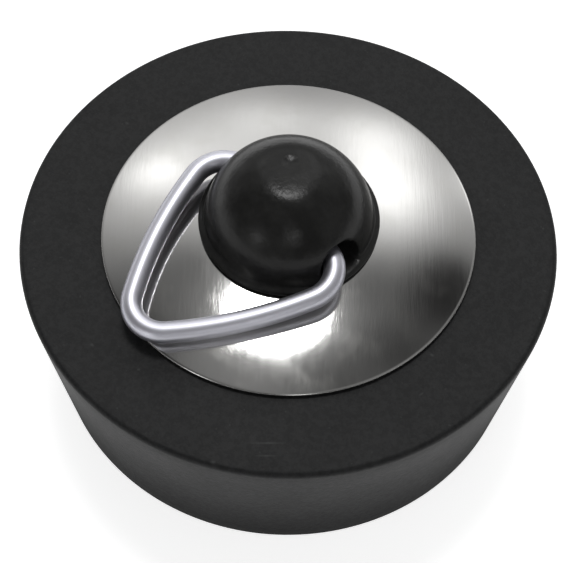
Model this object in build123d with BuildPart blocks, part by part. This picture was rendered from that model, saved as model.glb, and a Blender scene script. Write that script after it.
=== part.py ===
from build123d import *
from math import sqrt
import os

# Stopper for a sink or basin drain: a tapered rubber plug with a domed steel cover plate,
# a snap-in knob and a wire pull ring threaded through the knob.
#
# Millimetres. The origin is the centre of the plug's base and +Z is up. The pull ring hinges
# about a line along X through the knob, and at rest it lies towards -Y.

os.makedirs("parts", exist_ok=True)

# Plug body
rim_diameter = 48.0
base_diameter = 43.2
plug_height = 17.2
rim_round = 0.5
base_round = 1.0
recess_mouth_diameter = 29.0
recess_roof_diameter = 26.0
recess_depth = 7.0
recess_round = 2.0
head_pocket_depth = 4.0

# Cover plate, a disc pressed to a shallow dome
plate_diameter = 33.3
plate_thickness = 0.4
plate_rise = 2.0
plate_edge_round = 0.15

# Knob, from the dome down to the snap head under the plug
dome_diameter = 15.0
dome_centre_height = 2.2
lip_diameter = 16.0
lip_thickness = 0.7
lip_round = 0.3
neck_diameter = 13.0
stem_diameter = 8.8
head_diameter = 11.6
head_band = 0.8
head_tip_diameter = 7.4
head_length = 3.6
head_round = 0.4
eye_diameter = 4.0
eye_height = 3.8
eye_flare = 0.25

# Pull ring, a triangle of wire with rounded corners and bowed legs
wire_diameter = 1.9
ring_base_width = 18.4
ring_length = 18.0
ring_corner_radius = 3.0
leg_bow = 1.45
ring_end_gap = 0.6
hinge_height = 4.0
hinge_set_back = 0.25
rest_tilt = 8.0

# Fits
seat_clearance = 0.05
bore_clearance = 0.05
cut_overrun = 1.0

# Radii, and heights above the base, worked out from the sizes above
rim_radius = rim_diameter / 2
base_radius = base_diameter / 2
recess_mouth_radius = recess_mouth_diameter / 2
recess_roof_radius = recess_roof_diameter / 2
plate_radius = plate_diameter / 2
neck_radius = neck_diameter / 2
stem_radius = stem_diameter / 2
head_radius = head_diameter / 2
lip_radius = lip_diameter / 2
dome_radius = dome_diameter / 2
plate_hole_radius = neck_radius + bore_clearance
stem_bore_radius = stem_radius + bore_clearance
head_pocket_radius = head_radius + bore_clearance
crown_radius = (plate_radius**2 + plate_rise**2) / (2 * plate_rise)
eye_z = plug_height + eye_height
hinge_z = plug_height + hinge_height
dome_z = plug_height + dome_centre_height
shoulder_z = recess_depth + head_pocket_depth


def crown(radius, lift):
    """Point of the plate's domed form at a radius, raised from the plug's top by a lift."""
    height = sqrt(crown_radius**2 - radius**2) - sqrt(crown_radius**2 - plate_radius**2)
    return (radius, plug_height + lift + height)


def level_circles(piece):
    """Level circular edges of a turned piece, from the smallest to the largest."""
    return piece.edges().filter_by(GeomType.CIRCLE).filter_by(Plane.XY).sort_by(SortBy.RADIUS)


# The same dome is used at four levels: the rubber seat, the two faces of the plate and the
# underside of the knob's lip
seat_lift = 0
plate_under_lift = seat_lift + seat_clearance
plate_top_lift = plate_under_lift + plate_thickness
lip_under_lift = plate_top_lift + seat_clearance


# Plug body
# The seat for the plate is moulded as a dome, flat under the knob's neck. The stem bore opens
# into a pocket for the snap head and then into the hollow underside.
seat_inner = crown(neck_radius, seat_lift)
seat_outer = crown(plate_radius, seat_lift)
seat_floor_z = seat_inner[1]

with BuildPart() as plug_body:
    with BuildSketch(Plane.XZ):
        with BuildLine():
            Polyline(
                seat_inner,
                (stem_bore_radius, seat_floor_z),
                (stem_bore_radius, shoulder_z),
                (head_pocket_radius, shoulder_z),
                (head_pocket_radius, recess_depth),
                (recess_roof_radius, recess_depth),
                (recess_mouth_radius, 0),
                (base_radius, 0),
                (rim_radius, plug_height),
                seat_outer,
            )
            RadiusArc(seat_outer, seat_inner, -crown_radius)
        make_face()
    revolve(axis=Axis.Z)
    base_edge, rim_edge = level_circles(plug_body)[-2:]
    hollow_edges = level_circles(plug_body).filter_by_position(Axis.Z, 0, shoulder_z, (False, False))
    fillet(rim_edge, rim_round)
    fillet(base_edge, base_round)
    fillet(hollow_edges[-1], recess_round)

plug_body.part.label = "plug_body"
export_step(plug_body.part, "parts/plug_body.step")


# Cover plate
top_inner = crown(plate_hole_radius, plate_top_lift)
top_outer = crown(plate_radius, plate_top_lift)
under_outer = crown(plate_radius, plate_under_lift)
under_inner = crown(plate_hole_radius, plate_under_lift)

with BuildPart() as cover_plate:
    with BuildSketch(Plane.XZ):
        with BuildLine():
            RadiusArc(top_inner, top_outer, crown_radius)
            Line(top_outer, under_outer)
            RadiusArc(under_outer, under_inner, -crown_radius)
            Line(under_inner, top_inner)
        make_face()
    revolve(axis=Axis.Z)
    fillet(level_circles(cover_plate)[-2:], plate_edge_round)

cover_plate.part.label = "cover_plate"
export_step(cover_plate.part, "parts/cover_plate.step")


# Knob
# The dome is moulded on a lip that covers the edge of the plate's hole. The neck fills the hole,
# and the stem runs through the rubber to the snap head, whose flat back sits under the shoulder
# of its pocket. The eye crosses the dome only, so the lip stays whole and is the eye's floor.
lip_under_outer = crown(lip_radius, lip_under_lift)
lip_under_inner = crown(neck_radius, lip_under_lift)
lip_top_z = lip_under_outer[1] + lip_thickness
neck_foot_z = seat_floor_z + seat_clearance
head_back_z = shoulder_z - seat_clearance
head_tip_z = head_back_z - head_length

with BuildPart() as knob:
    with Locations((0, 0, dome_z)):
        Sphere(dome_radius)
    with BuildSketch(Plane.YZ):
        with Locations((0, eye_z)):
            Circle(eye_diameter / 2)
    extrude(amount=dome_radius + cut_overrun, both=True, mode=Mode.SUBTRACT)
    eye_mouths = knob.edges(Select.LAST)
    fillet(eye_mouths, eye_flare)
    split(bisect_by=Plane.XY.offset(lip_top_z))
    with BuildSketch(Plane.XZ) as section:
        with BuildLine():
            Polyline((0, lip_top_z), (lip_radius, lip_top_z), lip_under_outer)
            RadiusArc(lip_under_outer, lip_under_inner, -crown_radius)
            Polyline(
                lip_under_inner,
                (neck_radius, neck_foot_z),
                (stem_radius, neck_foot_z),
                (stem_radius, head_back_z),
                (head_radius, head_back_z),
                (head_radius, head_back_z - head_band),
                (head_tip_diameter / 2, head_tip_z),
                (0, head_tip_z),
                (0, lip_top_z),
            )
        make_face()
        lip_corner = section.vertices().group_by(Axis.Y)[-1].sort_by(Axis.X)[-1]
        fillet(lip_corner, lip_round)
        tip_corner = section.vertices().group_by(Axis.Y)[0].sort_by(Axis.X)[-1]
        fillet(tip_corner, head_round)
    revolve(axis=Axis.Z)

knob.part.label = "knob"
export_step(knob.part, "parts/knob.step")


# Pull ring
# The wire's centre line is drawn in the ring's own plane, with the hinge line as its X axis.
# Its two ends butt inside the eye. The hinge line is set back from the eye's middle, to where the
# wire lies at rest.
hinge_centre = (0, -hinge_set_back, hinge_z)
ring_plane = Plane(hinge_centre).rotated((rest_tilt, 0, 0))
half_base = ring_base_width / 2
leg_length = sqrt(half_base**2 + ring_length**2)
leg_bow_radius = (leg_length**2 / 4 + leg_bow**2) / (2 * leg_bow)

with BuildPart() as pull_ring:
    with BuildLine(ring_plane) as centre_line:
        Line((ring_end_gap / 2, 0), (half_base, 0))
        RadiusArc((half_base, 0), (0, -ring_length), leg_bow_radius)
        RadiusArc((0, -ring_length), (-half_base, 0), leg_bow_radius)
        Line((-half_base, 0), (-ring_end_gap / 2, 0))
        corners = centre_line.vertices().filter_by(
            lambda point: point.distance_to(Vertex(hinge_centre)) > ring_end_gap
        )
        fillet(corners, ring_corner_radius)
    with BuildSketch(Plane(centre_line.line @ 0, z_dir=centre_line.line % 0)):
        Circle(wire_diameter / 2)
    sweep(path=centre_line.line)

pull_ring.part.label = "pull_ring"
export_step(pull_ring.part, "parts/pull_ring.step")
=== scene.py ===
from math import asin, cos, hypot, pi, radians, sin, sqrt, tan

import bmesh
import bpy
from mathutils import Matrix, Vector, noise


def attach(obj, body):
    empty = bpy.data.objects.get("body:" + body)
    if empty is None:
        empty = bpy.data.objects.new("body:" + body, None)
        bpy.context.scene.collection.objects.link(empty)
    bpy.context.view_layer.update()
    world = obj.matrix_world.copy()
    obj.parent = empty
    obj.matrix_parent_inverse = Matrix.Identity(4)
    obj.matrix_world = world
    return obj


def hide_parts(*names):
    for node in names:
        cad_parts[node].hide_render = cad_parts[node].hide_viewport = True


bl_info = {
    "name": "Drain Stopper",
    "version": (1, 0, 0),
    "blender": (4, 5, 0),
    "location": "3D View > Sidebar > Stopper",
    "description": "Builds the pieces of a drain stopper and a plain studio around them",
    "category": "Add Mesh",
}

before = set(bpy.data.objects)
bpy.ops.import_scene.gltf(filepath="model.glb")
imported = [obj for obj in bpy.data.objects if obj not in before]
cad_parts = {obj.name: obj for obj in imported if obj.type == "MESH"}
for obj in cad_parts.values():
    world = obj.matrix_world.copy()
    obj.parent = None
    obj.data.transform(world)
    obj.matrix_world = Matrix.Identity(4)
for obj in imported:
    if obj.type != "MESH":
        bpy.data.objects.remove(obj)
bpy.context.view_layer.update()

NEAR = 2e-6  # two points closer than this are the same place

# Steps of the full turns, of the arcs drawn in a section, and along the wire
ROUND_STEPS = 192
EYE_ROUND_STEPS = 64
SEAT_STEPS = 12
PLATE_STEPS = 40
DOME_STEPS = 48
STRAIGHT_STEPS = 8
CORNER_STEPS = 24
LEG_STEPS = 24
APEX_STEPS = 16

LONG_EDGE = 0.003  # straight edges of the plug's section longer than this are divided
RIPPLES = 150  # the plate's ripples in a metre
RIPPLE_SLICE = 0.7  # the slice through the noise that they are taken from
EYE_MOUTH = 0.88  # where the eye starts to widen, as a share of the dome's radius
EYE_REACH = 1.2  # how far its cutter reaches, as a share of the lip's radius
SOFTEN_ROUNDS = 14  # times that the knob's skin is smoothed
CROWN_BAND = 0.0015  # the crown is pressed in only this far down from the dome's top
END_ROUND = 0.08  # rounding of the wire's ends, as a share of its diameter
FLOOR_GAP = 0.00002  # the floor lies this far under the plug's foot


def length(name, description, default):
    """A size in metres that a user can change."""
    return bpy.props.FloatProperty(
        name=name, description=description, default=default, min=0,
        precision=5, unit="LENGTH", subtype="DISTANCE",
    )


def angle(name, description, default):
    """An angle that a user can change."""
    return bpy.props.FloatProperty(
        name=name, description=description, default=radians(default),
        precision=4, unit="ROTATION", subtype="ANGLE",
    )


def share(name, description, default, top=1):
    """A plain number that a user can change."""
    return bpy.props.FloatProperty(
        name=name, description=description, default=default, min=0, max=top, precision=3
    )


def colour(name, description, default):
    """A linear colour that a user can change."""
    return bpy.props.FloatVectorProperty(
        name=name, description=description, default=default, min=0, max=1,
        size=3, subtype="COLOR",
    )


class PlugSettings(bpy.types.PropertyGroup):
    """Sizes and colours of the rubber plug"""

    rim_diameter: length("Rim", "Diameter across the top of the plug", 0.048)
    base_diameter: length("Base", "Diameter across the foot of the plug", 0.0432)
    height: length("Height", "Height of the plug at its rim", 0.0172)
    rim_round: length("Rim rounding", "Radius of the moulded rim", 0.0005)
    base_round: length("Base rounding", "Radius of the foot's edge", 0.001)
    mouth_diameter: length("Hollow mouth", "Diameter of the hollow at the foot", 0.029)
    roof_diameter: length("Hollow roof", "Diameter of the hollow at its roof", 0.026)
    hollow_depth: length("Hollow depth", "Depth of the hollow underside", 0.007)
    hollow_round: length("Hollow rounding", "Radius between the hollow's wall and roof", 0.002)
    pocket_diameter: length("Pocket", "Diameter of the pocket for the snap head", 0.0117)
    pocket_depth: length("Pocket depth", "Depth of the pocket for the snap head", 0.004)
    bore_diameter: length("Bore", "Diameter of the hole for the knob's stem", 0.0089)
    rubber: colour("Rubber", "Colour of the moulded rubber", (0.0058, 0.006, 0.0064))
    bloom: colour("Bloom", "Colour of the dusty bloom on old rubber", (0.037, 0.038, 0.038))


class PlateSettings(bpy.types.PropertyGroup):
    """Sizes and colour of the steel plate"""

    diameter: length("Diameter", "Diameter of the plate", 0.0333)
    thickness: length("Thickness", "Thickness of the sheet", 0.0004)
    rise: length("Rise", "Height of the dome over its edge", 0.002)
    lift: length("Lift", "Height of the plate's underside over the plug's top", 0.00005)
    hole_diameter: length("Hole", "Diameter of the hole for the knob's neck", 0.0131)
    edge_round: length("Edge rounding", "Radius of the blanked edge", 0.00015)
    unevenness: length("Unevenness", "Height of the ripples left by the press", 0.000012)
    steel: colour("Steel", "Colour of the bare steel", (0.56, 0.555, 0.545))


class KnobSettings(bpy.types.PropertyGroup):
    """Sizes and colour of the knob"""

    dome_diameter: length("Dome", "Diameter of the dome", 0.015)
    dome_height: length("Dome centre", "Height of the dome's centre", 0.0194)
    lip_diameter: length("Lip", "Diameter of the lip", 0.016)
    lip_thickness: length("Lip thickness", "Thickness of the lip's edge", 0.0007)
    neck_diameter: length("Neck", "Diameter of the neck in the plate's hole", 0.013)
    stem_diameter: length("Stem", "Diameter of the stem in the plug", 0.0088)
    head_diameter: length("Head", "Diameter of the snap head", 0.0116)
    head_tip_diameter: length("Head tip", "Diameter of the snap head's tip", 0.0074)
    head_length: length("Head length", "Length of the snap head", 0.0036)
    head_band: length("Head band", "Straight part of the snap head", 0.0008)
    eye_diameter: length("Eye", "Diameter of the eye for the ring", 0.004)
    eye_height: length("Eye height", "Height of the eye's centre", 0.021)
    eye_flare: length("Eye flare", "Widening of the eye at its mouths", 0.00025)
    crown_radius: length("Crown", "Radius of the flatter crown of the dome", 0.0035)
    crown_sink: length("Crown sink", "How far that crown is pressed in", 0.0004)
    gate_radius: length("Gate mark", "Radius of the dimple left by the mould's gate", 0.0009)
    gate_depth: length("Gate depth", "Depth of that dimple", 0.00012)
    gate_place: bpy.props.FloatVectorProperty(
        name="Gate place", description="Middle of that dimple across the crown", size=2,
        default=(-0.00085, 0.00072), unit="LENGTH", precision=5,
    )
    grain: length("Grain", "Edge of the faces that the moulded skin is made of", 0.00013)
    rubber: colour("Rubber", "Colour of the knob's harder rubber", (0.013, 0.013, 0.0125))


class RingSettings(bpy.types.PropertyGroup):
    """Sizes and colour of the pull ring"""

    wire_diameter: length("Wire", "Diameter of the wire", 0.0019)
    base_width: length("Width", "Width of the triangle between its sharp corners", 0.0184)
    reach: length("Length", "Height of the triangle", 0.018)
    corner_radius: length("Corners", "Bend radius of the corners", 0.003)
    leg_bow: length("Bow", "How far the legs bow outward", 0.00145)
    end_gap: length("Gap", "Gap between the wire's ends in the eye", 0.0006)
    hinge_height: length("Hinge height", "Height of the hinge line", 0.0212)
    set_back: length("Set-back", "Distance of the hinge line from the eye's middle", 0.00025)
    rest_tilt: angle("Tilt", "Slope of the ring at rest", 8.0)
    steel: colour("Steel", "Colour of the bright wire", (0.80, 0.80, 0.87))


class StudioSettings(bpy.types.PropertyGroup):
    """Lens, light and floor of the studio"""

    lens: share("Lens", "Focal length in millimetres", 110.2, 400)
    floor_size: length("Floor", "Side of the square floor", 6.0)
    overhead: share("Overhead", "Power of the overhead lamp in watts", 13, 100)
    lamp_size: length("Lamp size", "Diameter of the overhead lamp", 0.58)
    room: share("Room", "Brightness of the room's walls", 0.56, 4)
    floor: colour("Floor", "Colour of the floor", (0.8, 0.8, 0.8))
    floor_glow: share("Floor glow", "Light of the floor towards the camera", 0.78)


# Meshes


def chain(bm, corners):
    """Joins (radius, height) corners by edges in the XZ plane and returns the points."""
    points = [bm.verts.new((radius, 0, height)) for radius, height in corners]
    for start, end in zip(points, points[1:]):
        bm.edges.new((start, end))
    return points


def swing(bm, point, centre, turn, steps):
    """Draws an arc in the XZ plane by swinging a point about a centre. Returns its far end."""
    drawn = bmesh.ops.spin(
        bm, geom=[point], cent=centre, axis=(0, 1, 0), angle=turn, steps=steps, use_duplicate=False
    )
    return next(v for v in drawn["geom_last"] if isinstance(v, bmesh.types.BMVert))


def turn_skin(bm, steps=ROUND_STEPS):
    """Turns the drawn section once round the Z axis into a closed skin that faces outwards."""
    bmesh.ops.spin(
        bm, geom=bm.verts[:] + bm.edges[:], cent=(0, 0, 0), axis=(0, 0, 1), angle=2 * pi,
        steps=steps, use_merge=True, use_duplicate=False,
    )
    bmesh.ops.remove_doubles(bm, verts=bm.verts[:], dist=NEAR)
    bmesh.ops.dissolve_degenerate(bm, edges=bm.edges[:], dist=NEAR)
    bmesh.ops.recalc_face_normals(bm, faces=bm.faces[:])


def round_off(bm, radius, height, size, segments=6):
    """Rounds the level circular edge that a turned skin has at a radius and height."""
    edges = [
        edge for edge in bm.edges
        if all(hypot(v.co.xy.length - radius, v.co.z - height) < NEAR for v in edge.verts)
    ]
    if len(edges) < ROUND_STEPS:
        raise RuntimeError(f"no whole edge at radius {radius} and height {height}")
    bevel(bm, edges, size * tan(edges[0].calc_face_angle() / 2), segments)


def bevel(bm, edges, offset, segments):
    """Rounds edges to an arc that starts an offset away from them."""
    bmesh.ops.bevel(
        bm, geom=edges, offset=offset, offset_type="OFFSET", segments=segments,
        profile=0.5, affect="EDGES", material=-1,
    )


def piece_from(bm, name, finish, smooth=True):
    """Closes a bmesh into a named object in the scene with a finish."""
    mesh = bpy.data.meshes.new(name)
    bm.to_mesh(mesh)
    bm.free()
    mesh.polygons.foreach_set("use_smooth", [smooth] * len(mesh.polygons))
    mesh.materials.append(finish)
    piece = bpy.data.objects.new(name, mesh)
    bpy.context.scene.collection.objects.link(piece)
    return piece


def crown_radius(plate):
    """Radius of the dome that the plate, its seat and the knob's lip share."""
    return ((plate.diameter / 2) ** 2 + plate.rise**2) / (2 * plate.rise)


def crown(plate, plug, radius, lift):
    """Height of that dome at a radius, raised from the plug's top by a lift."""
    big, edge = crown_radius(plate), plate.diameter / 2
    return plug.height + lift + sqrt(big**2 - radius**2) - sqrt(big**2 - edge**2)


def crown_centre(plate, plug, lift):
    """Centre of that dome."""
    return Vector((0, 0, crown(plate, plug, 0, lift) - crown_radius(plate)))


# Finishes


class Value:
    """A number that changes over a surface: a socket whose sums and products add Math nodes."""

    def __init__(self, shader, socket):
        self.shader, self.socket = shader, socket

    def __add__(self, other):
        return self.shader.math("ADD", self, other)

    __radd__ = __add__

    def __sub__(self, other):
        return self.shader.math("SUBTRACT", self, other)

    def __rsub__(self, other):
        return self.shader.math("SUBTRACT", other, self)

    def __mul__(self, other):
        return self.shader.math("MULTIPLY", self, other)

    __rmul__ = __mul__

    def __truediv__(self, other):
        return self.shader.math("DIVIDE", self, other)

    def __rtruediv__(self, other):
        return self.shader.math("DIVIDE", other, self)


class Shader:
    """A node tree that a material or the world is written in."""

    def __init__(self, owner):
        owner.use_nodes = True
        self.owner, self.tree = owner, owner.node_tree
        self.tree.nodes.clear()

    def node(self, kind, settings=None, sockets=None, output=0):
        """Adds a node, sets its settings and then its sockets, and returns one of its outputs."""
        made = self.tree.nodes.new(kind)
        for name, value in (settings or {}).items():
            setattr(made, name, value)
        for name, value in (sockets or {}).items():
            socket = next(s for s in made.inputs if name in (s.identifier, s.name))
            if isinstance(value, Value):
                self.tree.links.new(value.socket, socket)
            else:
                socket.default_value = value
        if not made.outputs:
            return made
        if isinstance(output, int):
            return Value(self, made.outputs[output])
        return Value(self, next(s for s in made.outputs if output in (s.identifier, s.name)))

    def math(self, operation, first, second=0.0):
        """Result of an operation on one value or two."""
        return self.node(
            "ShaderNodeMath", {"operation": operation}, {"Value": first, "Value_001": second}
        )

    def dot(self, first, second):
        """Dot product of two vectors."""
        return self.node(
            "ShaderNodeVectorMath", {"operation": "DOT_PRODUCT"},
            {"Vector": first, "Vector_001": second}, "Value",
        )

    def part(self, vector, axis):
        """One coordinate of a vector: X, Y or Z."""
        return self.node("ShaderNodeSeparateXYZ", None, {"Vector": vector}, axis)

    def place(self):
        """Coordinates in metres, in the CAD model's frame."""
        return self.node("ShaderNodeTexCoord", output="Object")

    def laid(self, where, location=(0, 0, 0), turn=(0, 0, 0), scale=(1, 1, 1)):
        """Coordinates of a pattern that is moved to a location, turned, and stretched."""
        return self.node(
            "ShaderNodeMapping", {"vector_type": "TEXTURE"},
            {"Vector": where, "Location": location, "Rotation": turn, "Scale": scale},
        )

    def noise(self, where, size, detail, roughness):
        """Noise from 0 to 1 with features of about a size in the units of its coordinates."""
        return self.node(
            "ShaderNodeTexNoise", {"noise_dimensions": "3D", "normalize": True},
            {"Vector": where, "Scale": 1 / size, "Detail": detail, "Roughness": roughness}, "Fac",
        )

    def between(self, value, low, high, to_low=0.0, to_high=1.0):
        """Rises smoothly from to_low to to_high as a value goes from low to high."""
        return self.node(
            "ShaderNodeMapRange", {"interpolation_type": "SMOOTHSTEP", "clamp": True},
            {
                "Value": value, "From Min": low, "From Max": high,
                "To Min": to_low, "To Max": to_high,
            },
            "Result",
        )

    def blend(self, share, first, second):
        """A colour between two colours."""
        return self.node(
            "ShaderNodeMix", {"data_type": "RGBA", "clamp_factor": True},
            {"Factor_Float": share, "A_Color": (*first, 1), "B_Color": (*second, 1)},
            "Result_Color",
        )

    def bump(self, height, distance, under=None):
        """Relief of a height from 0 to 1 over a distance, on top of any relief under it."""
        sockets = {"Height": height, "Distance": distance, "Strength": 1.0}
        if under:
            sockets["Normal"] = under
        return self.node("ShaderNodeBump", None, sockets)

    def surface(self, kind, sockets):
        """Ends the tree with a shader and returns its material."""
        shade = self.node(kind, None, sockets)
        self.node("ShaderNodeOutputMaterial", None, {"Surface": shade})
        return self.owner


def finish_named(name):
    """The tree of a new material."""
    return Shader(bpy.data.materials.new(name))


def scuff(shader, where, middle, turn, half_length, half_width):
    """A short fine mark on a level surface, brightest along its middle."""
    across = shader.laid(where, (*middle, 0), (0, 0, turn), (half_length, half_width, 1))
    along = 1 - shader.math("ABSOLUTE", shader.part(across, "X"))
    beside = 1 - shader.math("ABSOLUTE", shader.part(across, "Y"))
    return shader.math("MAXIMUM", along, 0.0) * shader.math("MAXIMUM", beside, 0.0)


def rubber_finish(plug):
    """Moulded black rubber: a dull skin with fine grain, dusty bloom, specks and scuffs."""
    shader = finish_named("plug_rubber")
    where = shader.place()
    height = shader.part(where, "Z")
    cloud = shader.noise(where, 0.005, 4, 0.6)
    fine = shader.noise(where, 0.0006, 3, 0.6)
    grain = shader.noise(where, 0.00022, 2, 0.5)
    specks = shader.between(shader.noise(where, 0.00045, 1, 0.4), 0.74, 0.80)
    # Middle, turn, half length and half width of the scuffs
    marks = [
        ((0.01515, -0.0145), 0.90, 0.0019, 0.00014),
        ((0.0160, -0.0153), 0.90, 0.0011, 0.00012),
        ((0.01372, -0.01908), 0.9, 0.00030, 0.00022),
        ((-0.01896, -0.00395), 0.3, 0.00030, 0.00020),
        ((-0.0015, -0.02037), 0.5, 0.00026, 0.00018),
        ((0.01731, 0.00173), 0.1, 0.00024, 0.00018),
    ]
    # Only the level top is worn
    top = shader.between(height, plug.height - 0.0003, plug.height - 0.0001)
    worn = sum(
        (scuff(shader, where, middle, turn, reach, wide) for middle, turn, reach, wide in marks),
        specks * 0.5,
    )
    mottle = shader.between(shader.noise(where, 0.0005, 3, 0.8), 0.40, 0.60)
    dusty = 0.06 * cloud + 0.24 * mottle + worn * top
    base = shader.blend(dusty, plug.rubber, plug.bloom)
    rough = 0.50 + 0.12 * cloud + 0.10 * fine
    relief = 0.6 * grain + 0.4 * fine
    skin = {"Base Color": base, "Roughness": rough, "Normal": shader.bump(relief, 0.00005)}
    glossy, matt = (
        shader.node("ShaderNodeBsdfPrincipled", None, {**skin, "Specular IOR Level": gloss})
        for gloss in (0.28, 0)
    )
    # The side loses its gloss towards the foot and so is darker there: partly the rubber's own
    # duller foot, partly painted shade for the floor's shadow by the foot
    foot = shader.between(height, 0, plug.height * 0.95, 0.6, 0)
    return shader.surface(
        "ShaderNodeMixShader", {"Fac": foot, "Shader": glossy, "Shader_001": matt}
    )


def plate_finish(plate):
    """Rolled stainless sheet: bright, with faint rolling lines, a haze and shallow dents."""
    shader = finish_named("plate_steel")
    where = shader.place()
    # The rolling lines are drawn out 30 times along the sheet's rolling direction
    rolled = shader.laid(where, turn=(0, 0, radians(50)), scale=(1, 30, 1))
    lines = shader.noise(rolled, 0.00035, 3, 0.6)
    hair = shader.noise(rolled, 0.00009, 2, 0.5)
    cloud = shader.noise(where, 0.006, 3, 0.55)
    smear = shader.between(shader.noise(where, 0.0025, 2, 0.5), 0.42, 0.75)
    dents = shader.noise(where, 0.005, 1, 0.4)
    rough = 0.065 + 0.05 * lines + 0.07 * smear * cloud
    hazy = 0.5 * smear * cloud + 0.25 * lines
    base = shader.blend(hazy, plate.steel, (0.50, 0.495, 0.47))
    relief = 0.7 * lines + 0.3 * hair
    return shader.surface(
        "ShaderNodeBsdfPrincipled",
        {
            "Base Color": base, "Metallic": 1.0, "Roughness": rough,
            "Normal": shader.bump(relief, 0.000004, under=shader.bump(dents, 0.000012)),
        },
    )


def knob_finish(knob):
    """Harder moulded rubber with a soft gloss and a slightly lumpy skin."""
    shader = finish_named("knob_rubber")
    where = shader.place()
    cloud = shader.noise(where, 0.003, 3, 0.6)
    mottle = shader.between(cloud, 0.35, 0.65)
    lumps = shader.noise(where, 0.0014, 2, 0.5)
    grain = shader.noise(where, 0.00025, 2, 0.5)
    base = shader.blend(0.5 * mottle + 0.20 * grain, knob.rubber, (0.034, 0.034, 0.033))
    rough = 0.18 + 0.09 * cloud + 0.05 * grain
    return shader.surface(
        "ShaderNodeBsdfPrincipled",
        {
            "Base Color": base, "Roughness": rough, "Specular IOR Level": 0.18,
            "Normal": shader.bump(0.8 * lumps + 0.2 * grain, 0.00006),
        },
    )


def wire_finish(ring):
    """Bright drawn wire with faint lines along it, which follow its bends."""
    shader = finish_named("wire_steel")
    along, round_x, round_y = (
        shader.node("ShaderNodeAttribute", {"attribute_name": name}, output="Fac")
        for name in ("along", "round_x", "round_y")
    )
    # In radii of the wire across it, and far coarser along it, so that the lines are long
    drawn = shader.node(
        "ShaderNodeCombineXYZ", None, {"X": 60 * along, "Y": round_x, "Z": round_y}
    )
    lines = shader.noise(drawn, 0.16, 3, 0.6)
    cloud = shader.noise(shader.place(), 0.0015, 3, 0.6)
    base = shader.blend(0.5 * cloud * lines, ring.steel, (0.48, 0.47, 0.56))
    rough = 0.36 + 0.08 * lines + 0.06 * cloud
    return shader.surface(
        "ShaderNodeBsdfPrincipled",
        {
            "Base Color": base, "Metallic": 1.0, "Roughness": rough,
            "Normal": shader.bump(lines, 0.000002),
        },
    )


# Pieces


class STOPPER_OT_plug(bpy.types.Operator):
    """Adds the rubber plug, with its domed seat, hollow underside and bore"""

    bl_idname = "stopper.add_plug"
    bl_label = "Rubber Plug"

    def execute(self, context):
        plug, plate = context.scene.stopper_plug, context.scene.stopper_plate
        neck = context.scene.stopper_knob.neck_diameter / 2
        seat = crown(plate, plug, neck, 0)
        shoulder = plug.hollow_depth + plug.pocket_depth
        bore, pocket = plug.bore_diameter / 2, plug.pocket_diameter / 2
        roof, mouth = plug.roof_diameter / 2, plug.mouth_diameter / 2
        base, rim = plug.base_diameter / 2, plug.rim_diameter / 2
        bm = bmesh.new()
        section = chain(bm, [
            (neck, seat), (bore, seat), (bore, shoulder), (pocket, shoulder),
            (pocket, plug.hollow_depth), (roof, plug.hollow_depth), (mouth, 0), (base, 0),
            (rim, plug.height), (plate.diameter / 2, plug.height),
        ])
        slope = asin(plate.diameter / 2 / crown_radius(plate)) - asin(neck / crown_radius(plate))
        swing(bm, section[-1], crown_centre(plate, plug, 0), -slope, SEAT_STEPS)
        bmesh.ops.remove_doubles(bm, verts=bm.verts[:], dist=NEAR)
        long_edges = [edge for edge in bm.edges if edge.calc_length() > LONG_EDGE]
        bmesh.ops.subdivide_edges(bm, edges=long_edges, cuts=7)
        turn_skin(bm)
        round_off(bm, rim, plug.height, plug.rim_round)
        round_off(bm, base, 0, plug.base_round)
        round_off(bm, roof, plug.hollow_depth, plug.hollow_round)
        piece = piece_from(bm, "rubber_plug", rubber_finish(plug))
        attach(piece, "plug")
        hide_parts("plug_body")
        return {"FINISHED"}


class STOPPER_OT_plate(bpy.types.Operator):
    """Adds the domed steel plate that covers the plug's seat"""

    bl_idname = "stopper.add_plate"
    bl_label = "Steel Plate"

    def execute(self, context):
        plug, plate = context.scene.stopper_plug, context.scene.stopper_plate
        hole, edge = plate.hole_diameter / 2, plate.diameter / 2
        slope = asin(edge / crown_radius(plate)) - asin(hole / crown_radius(plate))
        bm = bmesh.new()
        ends = []
        for lift in (plate.lift, plate.lift + plate.thickness):
            start = bm.verts.new((hole, 0, crown(plate, plug, hole, lift)))
            end = swing(bm, start, crown_centre(plate, plug, lift), slope, PLATE_STEPS)
            ends.append((start, end))
        for below, above in zip(*ends):
            bm.edges.new((below, above))
        rim_heights = [end.co.z for _, end in ends]
        turn_skin(bm)
        for height in rim_heights:
            round_off(bm, edge, height, plate.edge_round, segments=4)
        for point in bm.verts:
            ripple = noise.noise(Vector((point.co.x, point.co.y, RIPPLE_SLICE)) * RIPPLES)
            point.co.z += plate.unevenness * ripple
        piece = piece_from(bm, "steel_plate", plate_finish(plate))
        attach(piece, "plug")
        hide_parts("cover_plate")
        return {"FINISHED"}


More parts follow.
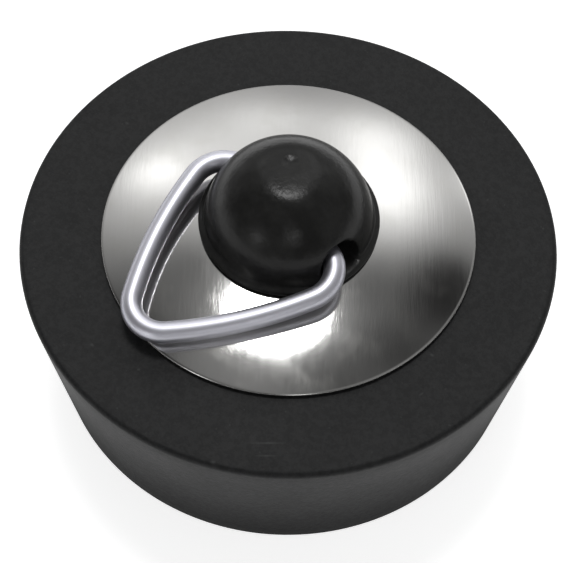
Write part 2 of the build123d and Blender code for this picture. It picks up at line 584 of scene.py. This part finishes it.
class STOPPER_OT_knob(bpy.types.Operator):
    """Adds the knob: dome, lip, neck, stem and snap head, with the eye for the ring"""

    bl_idname = "stopper.add_knob"
    bl_label = "Knob"

    def execute(self, context):
        scene = context.scene
        plug, plate, knob = scene.stopper_plug, scene.stopper_plate, scene.stopper_knob
        whole, lip_top = self.turn_whole(plug, plate, knob)
        solid = piece_from(whole, "snap_knob", knob_finish(knob))
        cutter = piece_from(self.turn_eye(knob, lip_top), "eye_cutter", solid.data.materials[0])
        self.cut_and_soften(context, solid, cutter, knob.grain)
        self.press_crown(solid.data, knob)
        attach(solid, "plug")
        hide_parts("knob")
        return {"FINISHED"}

    def turn_whole(self, plug, plate, knob):
        """Turns the knob without its eye. Returns it with the height of its lip's top."""
        clear = plate.lift
        lift = plate.lift + plate.thickness + clear
        lip, neck, stem = knob.lip_diameter / 2, knob.neck_diameter / 2, knob.stem_diameter / 2
        lip_under = crown(plate, plug, lip, lift)
        lip_top = lip_under + knob.lip_thickness
        neck_foot = crown(plate, plug, neck, 0) + clear
        head_back = plug.hollow_depth + plug.pocket_depth - clear
        head_tip = head_back - knob.head_length
        dome = knob.dome_diameter / 2
        foot = asin((lip_top - knob.dome_height) / dome)
        bm = bmesh.new()
        section = chain(bm, [
            (0, head_tip), (knob.head_tip_diameter / 2, head_tip),
            (knob.head_diameter / 2, head_back - knob.head_band),
            (knob.head_diameter / 2, head_back), (stem, head_back), (stem, neck_foot),
            (neck, neck_foot), (neck, crown(plate, plug, neck, lift)), (lip, lip_under),
            (lip, lip_top), (dome * cos(foot), lip_top),
        ])
        swing(bm, section[-1], (0, 0, knob.dome_height), foot - pi / 2, DOME_STEPS)
        turn_skin(bm)
        return bm, lip_top

    def turn_eye(self, knob, lip_top):
        """Turns the form that cuts the eye with its wide mouths, down to the lip's top."""
        eye, dome = knob.eye_diameter / 2, knob.dome_diameter / 2
        mouth, reach = dome * EYE_MOUTH, knob.lip_diameter / 2 * EYE_REACH
        bm = bmesh.new()
        for side in (1, -1):
            chain(bm, [
                (eye, 0), (eye, side * mouth), (eye + knob.eye_flare, side * dome),
                (eye + 3 * knob.eye_flare, side * reach), (0, side * reach),
            ])
        bmesh.ops.remove_doubles(bm, verts=bm.verts[:], dist=NEAR)
        turn_skin(bm, EYE_ROUND_STEPS)
        across = Matrix.Rotation(pi / 2, 3, "Y")
        bmesh.ops.rotate(bm, verts=bm.verts[:], cent=(0, 0, 0), matrix=across)
        bmesh.ops.translate(bm, verts=bm.verts[:], vec=(0, 0, knob.eye_height))
        below = bmesh.ops.bisect_plane(
            bm, geom=bm.verts[:] + bm.edges[:] + bm.faces[:], plane_co=(0, 0, lip_top),
            plane_no=(0, 0, -1), clear_outer=True,
        )
        rim = [g for g in below["geom_cut"] if isinstance(g, bmesh.types.BMEdge)]
        bmesh.ops.edgenet_fill(bm, edges=rim)
        bmesh.ops.recalc_face_normals(bm, faces=bm.faces[:])
        return bm

    def cut_and_soften(self, context, solid, cutter, grain):
        """Cuts the eye, and gives the knob one moulded skin with softened edges."""
        cut = solid.modifiers.new("eye", "BOOLEAN")
        cut.operation, cut.solver, cut.object = "DIFFERENCE", "EXACT", cutter
        skin = solid.modifiers.new("skin", "REMESH")
        skin.mode, skin.voxel_size, skin.use_smooth_shade = "VOXEL", grain, True
        soften = solid.modifiers.new("soften", "SMOOTH")
        soften.factor, soften.iterations = 0.5, SOFTEN_ROUNDS
        shaped = bpy.data.meshes.new_from_object(
            solid.evaluated_get(context.evaluated_depsgraph_get())
        )
        solid.modifiers.clear()
        solid.data = shaped
        shaped.name = "snap_knob"
        bpy.data.objects.remove(cutter)

    def press_crown(self, mesh, knob):
        """Flattens the dome's crown a little and presses the gate's dimple into it."""
        bm = bmesh.new()
        bm.from_mesh(mesh)
        top = knob.dome_height + knob.dome_diameter / 2
        for middle, radius, depth in (
            ((0, 0), knob.crown_radius, knob.crown_sink),
            (tuple(knob.gate_place), knob.gate_radius, knob.gate_depth),
        ):
            for point in bm.verts:
                near = (point.co.xy - Vector(middle)).length / radius
                if near < 1 and point.co.z > top - CROWN_BAND:
                    point.co.z -= depth * (1 - near**2) ** 2
        bm.to_mesh(mesh)
        bm.free()


class STOPPER_OT_ring(bpy.types.Operator):
    """Adds the pull ring, one wire bent to a triangle through the knob's eye"""

    bl_idname = "stopper.add_ring"
    bl_label = "Pull Ring"

    def execute(self, context):
        ring = context.scene.stopper_ring
        half, corner, bow = ring.base_width / 2, ring.corner_radius, ring.leg_bow
        # Centres of the leg's bow, of the first corner and of the apex, whose arcs run into
        # each other
        leg = hypot(half, ring.reach)
        leg_radius = (leg**2 / 4 + bow**2) / (2 * bow)
        along_leg = Vector((-half, -ring.reach)) / leg
        inward = Vector((along_leg.y, -along_leg.x))
        leg_centre = Vector((half, -ring.reach)) / 2 + inward * (leg_radius - bow)
        inner = leg_radius - corner
        first_x = leg_centre.x + sqrt(inner**2 - (-corner - leg_centre.y) ** 2)
        first = Vector((first_x, -corner))
        apex = Vector((0, leg_centre.y - sqrt(inner**2 - leg_centre.x**2)))
        to_first, to_apex = first - leg_centre, apex - leg_centre

        bm = bmesh.new()
        reached = bm.verts.layers.float.new("along")
        sides = [bm.verts.layers.float.new(name) for name in ("round_x", "round_y")]
        facing = Matrix.Translation((ring.end_gap / 2, 0, 0)) @ Matrix.Rotation(pi / 2, 4, "Y")
        bmesh.ops.create_circle(
            bm, cap_ends=True, segments=32, radius=ring.wire_diameter / 2, matrix=facing
        )
        for point in bm.verts:
            point[sides[0]] = point.co.y / ring.wire_diameter * 2
            point[sides[1]] = point.co.z / ring.wire_diameter * 2
        loop, distance = bm.edges[:], 0.0

        def carry_on(end, step):
            """Takes the wire's new end as the one to grow on from, a step further along."""
            nonlocal loop, distance
            distance += step
            loop = [g for g in end if isinstance(g, bmesh.types.BMEdge)]
            for point in {v for edge in loop for v in edge.verts}:
                point[reached] = distance

        step = (first.x - ring.end_gap / 2) / STRAIGHT_STEPS
        for _ in range(STRAIGHT_STEPS):
            grown = bmesh.ops.extrude_edge_only(bm, edges=loop)["geom"]
            ends = [g for g in grown if isinstance(g, bmesh.types.BMVert)]
            bmesh.ops.translate(bm, verts=ends, vec=(step, 0, 0))
            edges = [g for g in grown if isinstance(g, bmesh.types.BMEdge)]
            carry_on([edge for edge in edges if all(v in ends for v in edge.verts)], step)

        def bend(centre, turn, radius, steps):
            """Bends the wire on round a centre."""
            for _ in range(steps):
                end = bmesh.ops.spin(
                    bm, geom=loop, cent=(*centre, 0), axis=(0, 0, 1), angle=turn / steps,
                    steps=1, use_duplicate=False,
                )
                carry_on(end["geom_last"], radius * abs(turn) / steps)

        bend(first, -abs(Vector((0, 1)).angle_signed(to_first)), corner, CORNER_STEPS)
        bend(leg_centre, -abs(to_first.angle_signed(to_apex)), leg_radius, LEG_STEPS)
        bend(apex, -abs(to_apex.angle_signed(Vector((0, -1)))), corner, APEX_STEPS)
        half_wire = bm.verts[:] + bm.edges[:] + bm.faces[:]
        bmesh.ops.mirror(bm, geom=half_wire, axis="X", merge_dist=NEAR)
        bmesh.ops.remove_doubles(bm, verts=bm.verts[:], dist=NEAR)
        bmesh.ops.recalc_face_normals(bm, faces=bm.faces[:])
        # Only the wire's two end faces have more than four corners
        rims = [edge for edge in bm.edges if any(len(face.verts) > 4 for face in edge.link_faces)]
        bevel(bm, rims, ring.wire_diameter * END_ROUND, segments=3)
        bmesh.ops.rotate(
            bm, verts=bm.verts[:], cent=(0, 0, 0), matrix=Matrix.Rotation(ring.rest_tilt, 3, "X")
        )
        bmesh.ops.translate(bm, verts=bm.verts[:], vec=(0, -ring.set_back, ring.hinge_height))
        piece = piece_from(bm, "wire_ring", wire_finish(ring))
        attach(piece, "ring")
        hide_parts("pull_ring")
        return {"FINISHED"}


# Studio


def toward(azimuth, elevation):
    """Unit vector to a place over the floor. Azimuth 0 is on the ring's side of the plug."""
    turn, rise = radians(azimuth), radians(elevation)
    return Vector((sin(turn) * cos(rise), -cos(turn) * cos(rise), sin(rise)))


# The camera's place, the way it looks, and its roll in radians
CAMERA_PLACE = (0.0657627, -0.0558734, 0.1442313)
CAMERA_FORWARD = (-0.41267, 0.34627, -0.84250)
CAMERA_ROLL = 0.0236
# The lamp's place before it is turned about the plug's axis, and that turn in degrees
LAMP_PLACE = (-0.06, 0.60, 2)
LAMP_TURN = 50
# Azimuth, elevation and width in degrees of the room's soft windows, and their strength
WINDOWS = [
    (209.7, 44.2, 4.9, 1.49),
    (215.6, 34.8, 4.7, 1.06),
    (249.7, 40.2, 8.9, 0.70),
    (194, 31.4, 3.9, 1.3),
    (232, 31.5, 4.5, 0.74),
    (254.8, 39.3, 3.0, 0.9),
    (234, 54.5, 11.7, 0.37),
    (205, 50, 4, 0.3),
    (295, 73, 5, 0.09),
    (7, 17.5, 4, 5),
    (57, 32, 4, 5),
]
# The same for its dark corners, and how dark they are, from 0 to 1
DARK_CORNERS = [
    (184.2, 52.2, 4.4, 0.9),
    (180, 57.7, 5.7, 0.94),
    (201.3, 63.3, 4.5, 0.76),
    (160.2, 80.6, 7.5, 0.69),
    (259.6, 59.1, 5.7, 1.0),
    (169, 67.7, 7.0, 0.81),
    (302.8, 59.3, 15, 1.0),
    (231, 28.9, 4.2, 0.74),
    (50, 28, 42, 0.86),
    (186, 55.5, 2.5, 0.5),
    (320, 30, 22, 0.8),
    (150, 20, 22, 0.7),
]


class STOPPER_OT_studio(bpy.types.Operator):
    """Adds the floor, the studio light and the camera"""

    bl_idname = "stopper.add_studio"
    bl_label = "Studio"

    def execute(self, context):
        studio = context.scene.stopper_studio
        self.add_floor(context, studio)
        self.add_room(context, studio)
        self.add_overhead(context, studio)
        self.add_camera(context, studio)
        context.scene.view_settings.view_transform = "Standard"
        return {"FINISHED"}

    def add_floor(self, context, studio):
        """A pale floor that takes the plug's shadow and shows white to the eye and in metal."""
        shader = finish_named("floor_white")
        camera, glossy, transmission = (
            shader.node("ShaderNodeLightPath", output=ray)
            for ray in ("Is Camera Ray", "Is Glossy Ray", "Is Transmission Ray")
        )
        seen = shader.math("MAXIMUM", shader.math("MAXIMUM", camera, glossy), transmission)
        matt = shader.node("ShaderNodeBsdfDiffuse", None, {"Color": (*studio.floor, 1)})
        glow = shader.node(
            "ShaderNodeEmission", None,
            {"Color": (1, 1, 1, 1), "Strength": studio.floor_glow * seen},
        )
        pale = shader.surface("ShaderNodeAddShader", {"Shader": matt, "Shader_001": glow})
        bm = bmesh.new()
        below = Matrix.Translation((0, 0, -FLOOR_GAP))
        bmesh.ops.create_grid(
            bm, x_segments=2, y_segments=2, size=studio.floor_size / 2, matrix=below
        )
        floor = piece_from(bm, "floor", pale, smooth=False)

    def add_room(self, context, studio):
        """The world: an even room with soft windows on one side and dark corners over them."""
        world = bpy.data.worlds.new("studio")
        context.scene.world = world
        shader = Shader(world)
        look = shader.node("ShaderNodeTexCoord", output="Generated")

        def spot(azimuth, elevation, width):
            """A lobe that is 1 towards a place and fades away from it over a width in degrees."""
            facing = shader.dot(look, tuple(toward(azimuth, elevation)))
            return shader.math("EXPONENT", (facing - 1) / radians(width) ** 2)

        light = 1
        for *place, depth in DARK_CORNERS:
            light = light * (1 - depth * spot(*place))
        light = studio.room * light
        for *place, strength in WINDOWS:
            light = light + strength * spot(*place)
        # The camera sees white past the floor
        light = shader.math(
            "MAXIMUM", light, shader.node("ShaderNodeLightPath", output="Is Camera Ray")
        )
        shade = shader.node(
            "ShaderNodeBackground", None, {"Color": (1, 1, 1, 1), "Strength": light}
        )
        shader.node("ShaderNodeOutputWorld", None, {"Surface": shade})

    def add_overhead(self, context, studio):
        """A round lamp, whose reflection is the bright crescent on the plate."""
        panel = bpy.data.lights.new("overhead_lamp", "AREA")
        panel.shape, panel.size, panel.energy = "DISK", studio.lamp_size, studio.overhead
        lamp = bpy.data.objects.new("overhead_lamp", panel)
        context.scene.collection.objects.link(lamp)
        turned = Matrix.Rotation(radians(LAMP_TURN), 4, "Z")
        lamp.matrix_world = turned @ Matrix.Translation(LAMP_PLACE)

    def add_camera(self, context, studio):
        """The camera, which looks down at the plug from the photo's side."""
        camera = bpy.data.cameras.new("camera")
        camera.sensor_width, camera.lens = 36, studio.lens
        camera.clip_start, camera.clip_end = 0.01, 20
        holder = bpy.data.objects.new("camera", camera)
        context.scene.collection.objects.link(holder)
        forward = Vector(CAMERA_FORWARD).normalized()
        upright = forward.to_track_quat("-Z", "Y").to_matrix().to_4x4()
        roll = Matrix.Rotation(CAMERA_ROLL, 4, "Z")
        holder.matrix_world = Matrix.Translation(CAMERA_PLACE) @ upright @ roll
        context.scene.camera = holder


class STOPPER_PT_panel(bpy.types.Panel):
    """Lists the stopper's pieces and their settings"""

    bl_idname = "STOPPER_PT_panel"
    bl_label = "Drain Stopper"
    bl_space_type = "VIEW_3D"
    bl_region_type = "UI"
    bl_category = "Stopper"

    def draw(self, context):
        for operator, settings in STEPS:
            box = self.layout.box()
            box.operator(operator.bl_idname)
            group = getattr(context.scene, settings)
            for name in group.__annotations__:
                box.prop(group, name)


GROUPS = {
    "stopper_plug": PlugSettings,
    "stopper_plate": PlateSettings,
    "stopper_knob": KnobSettings,
    "stopper_ring": RingSettings,
    "stopper_studio": StudioSettings,
}
STEPS = [
    (STOPPER_OT_studio, "stopper_studio"),
    (STOPPER_OT_plug, "stopper_plug"),
    (STOPPER_OT_plate, "stopper_plate"),
    (STOPPER_OT_knob, "stopper_knob"),
    (STOPPER_OT_ring, "stopper_ring"),
]


def register():
    """Adds the settings, operators and panel to Blender"""
    for name, group in GROUPS.items():
        bpy.utils.register_class(group)
        setattr(bpy.types.Scene, name, bpy.props.PointerProperty(type=group))
    for operator, _ in STEPS:
        bpy.utils.register_class(operator)
    bpy.utils.register_class(STOPPER_PT_panel)


def unregister():
    """Takes them away again"""
    bpy.utils.unregister_class(STOPPER_PT_panel)
    for operator, _ in reversed(STEPS):
        bpy.utils.unregister_class(operator)
    for name, group in reversed(GROUPS.items()):
        delattr(bpy.types.Scene, name)
        bpy.utils.unregister_class(group)


def main():
    """Builds the whole scene"""
    register()
    bpy.ops.stopper.add_studio()
    bpy.ops.stopper.add_plug()
    bpy.ops.stopper.add_plate()
    bpy.ops.stopper.add_knob()
    bpy.ops.stopper.add_ring()


if __name__ == "__main__":
    main()
